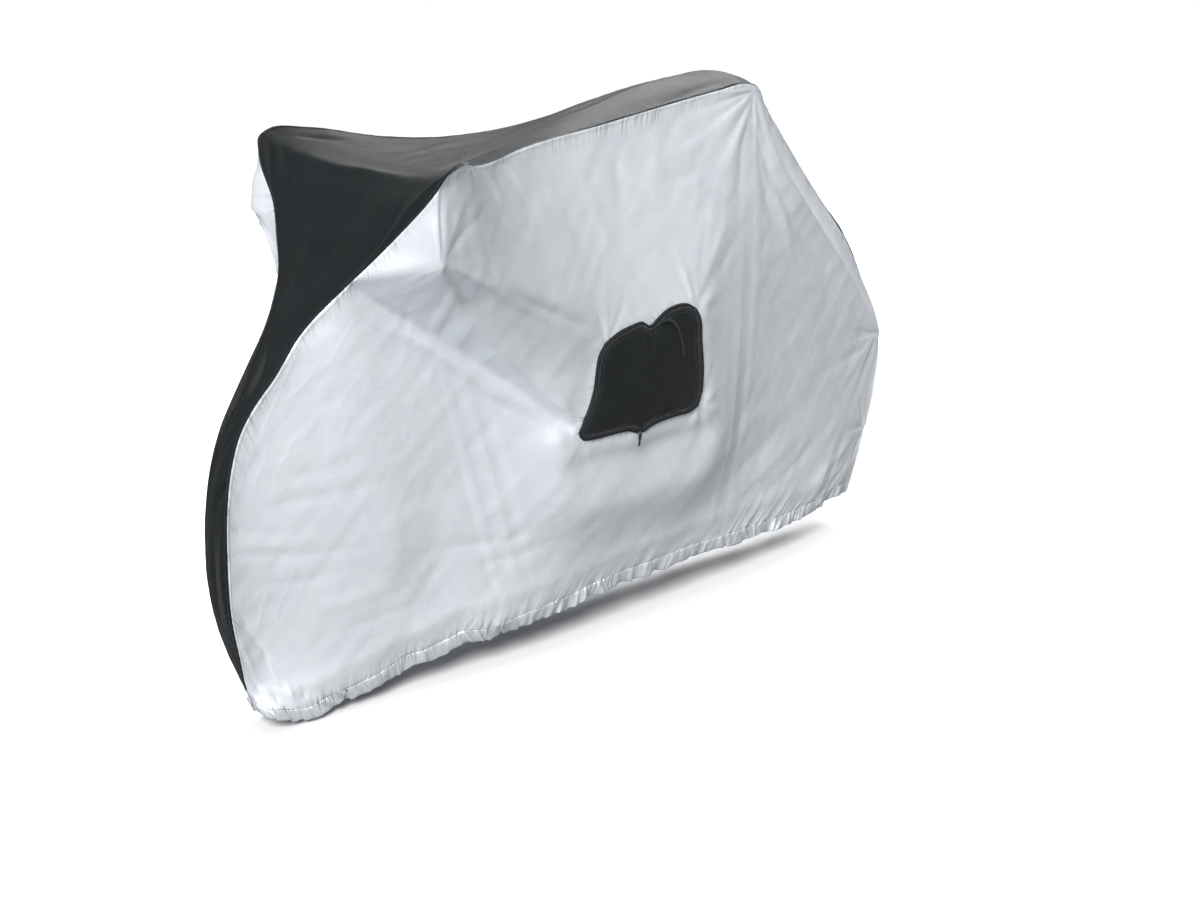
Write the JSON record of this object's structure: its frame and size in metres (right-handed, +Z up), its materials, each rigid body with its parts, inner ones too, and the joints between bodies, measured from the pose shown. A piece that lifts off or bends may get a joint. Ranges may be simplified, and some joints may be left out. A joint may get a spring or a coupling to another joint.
{
  "type": "bicycle cover",
  "caption": "Fitted weather cover for a standing bicycle: silver side panels, a black centre band, an elastic hem and a black zipped pocket.",
  "frame": {"origin": "on the centre line 2 mm under the cloth's inner face, where the top lies on the saddle", "axes": "+X along the bicycle towards its rear wheel, +Y across it away from the side with the pocket, +Z up"},
  "size_m": [1.6894, 0.5321, 1.0145],
  "materials": {
    "nylon_black": "matt plain-weave nylon",
    "taffeta_silver": "silver-coated taffeta with a soft sheen",
    "pocket_black": "matt nylon",
    "zip_black": "woven tape with a coil",
    "webbing_black": "narrow woven webbing",
    "slider_metal": "dark bronzed",
    "pull_rubber": "matt moulded"
  },
  "bodies": {
    "root": {"centre_band": "nylon_black", "near_panel": "taffeta_silver", "far_panel": "taffeta_silver", "pouch_panel": "pocket_black", "pouch_zip": "zip_black", "zip_slider": "slider_metal", "zip_pull": "pull_rubber", "pouch_strap": "webbing_black"}
  },
  "joints": []
}
